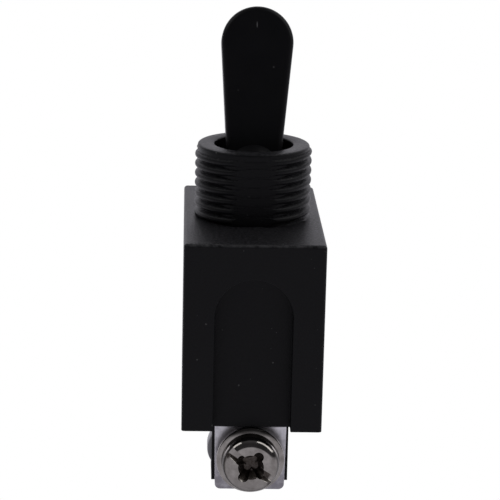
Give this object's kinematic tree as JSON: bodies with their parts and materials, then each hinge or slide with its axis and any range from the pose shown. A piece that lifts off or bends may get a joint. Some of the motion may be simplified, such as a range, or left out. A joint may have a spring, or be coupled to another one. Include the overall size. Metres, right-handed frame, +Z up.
{
  "type": "panel toggle switch",
  "caption": "Panel toggle switch in black plastic: threaded neck, flat paddle lever, boxy body and a screw terminal at each narrow end.",
  "frame": {"origin": "on the axis of the threaded neck, in the plane of the body's panel face", "axes": "+Z up the neck, +X to the right, +Y from the front terminal to the rear terminal, the way the lever leans when on"},
  "size_m": [0.0142, 0.0266, 0.0477],
  "materials": {
    "black_plastic": "satin black moulding",
    "lever_plastic": "smooth satin black",
    "nickel_steel": "polished nickel plate",
    "spring_steel": "drawn wire",
    "nylon": "natural nylon",
    "contact_brass": "stamped brass",
    "silver": "fine silver",
    "tinned_brass": "matte tin plate"
  },
  "bodies": {
    "body": {"housing": "black_plastic", "terminal_base": "black_plastic", "rocker_cradle": "contact_brass", "cradle_rivet": "contact_brass", "fixed_contact": "silver", "front_terminal": "tinned_brass", "rear_terminal": "tinned_brass", "front_nut_plate": "nickel_steel", "rear_nut_plate": "nickel_steel"},
    "lever": {"lever": "lever_plastic", "lever_pin": "nickel_steel", "plunger_spring": "spring_steel"},
    "plunger": {"plunger": "nylon"},
    "rocker": {"contact_rocker": "contact_brass", "moving_contact": "silver"},
    "front_clamp": {"front_washer": "nickel_steel", "front_spring_washer": "nickel_steel"},
    "front_screw": {"front_terminal_screw": "nickel_steel"},
    "rear_clamp": {"rear_washer": "nickel_steel", "rear_spring_washer": "nickel_steel"},
    "rear_screw": {"rear_terminal_screw": "nickel_steel"}
  },
  "joints": [
    {"name": "lever_throw", "type": "hinge", "parent": "body", "child": "lever", "pos_m": [0, 0, 0.0044], "axis": [1, 0, 0], "range_deg": [0, 28]},
    {"name": "plunger_slide", "type": "slide", "parent": "lever", "child": "plunger", "axis": [0, 0.2419, 0.9703], "range_m": [0, 0.0008], "stiffness_N_per_m": 200, "deforming": ["plunger_spring"]},
    {"name": "rocker_tilt", "type": "hinge", "parent": "body", "child": "rocker", "pos_m": [0, 0, -0.0112], "axis": [1, 0, 0], "range_deg": [-12, 0]},
    {"name": "front_clamp_slide", "type": "slide", "parent": "body", "child": "front_clamp", "axis": [0, -1, 0], "range_m": [0, 0.0015]},
    {"name": "front_screw_turn", "type": "hinge", "parent": "front_clamp", "child": "front_screw", "pos_m": [0, -0.01, -0.0229], "axis": [0, -1, 0], "range_deg": [0, 1080]},
    {"name": "rear_clamp_slide", "type": "slide", "parent": "body", "child": "rear_clamp", "axis": [0, 1, 0], "range_m": [0, 0.0015]},
    {"name": "rear_screw_turn", "type": "hinge", "parent": "rear_clamp", "child": "rear_screw", "pos_m": [0, 0.01, -0.0229], "axis": [0, 1, 0], "range_deg": [0, 1080]}
  ],
  "couplings": [
    {"joint": "rocker_tilt", "follows": "lever_throw", "ratio": -0.42857},
    {"joint": "front_screw_turn", "follows": "front_clamp_slide", "rad_per_m": 12566},
    {"joint": "rear_screw_turn", "follows": "rear_clamp_slide", "rad_per_m": 12566}
  ]
}
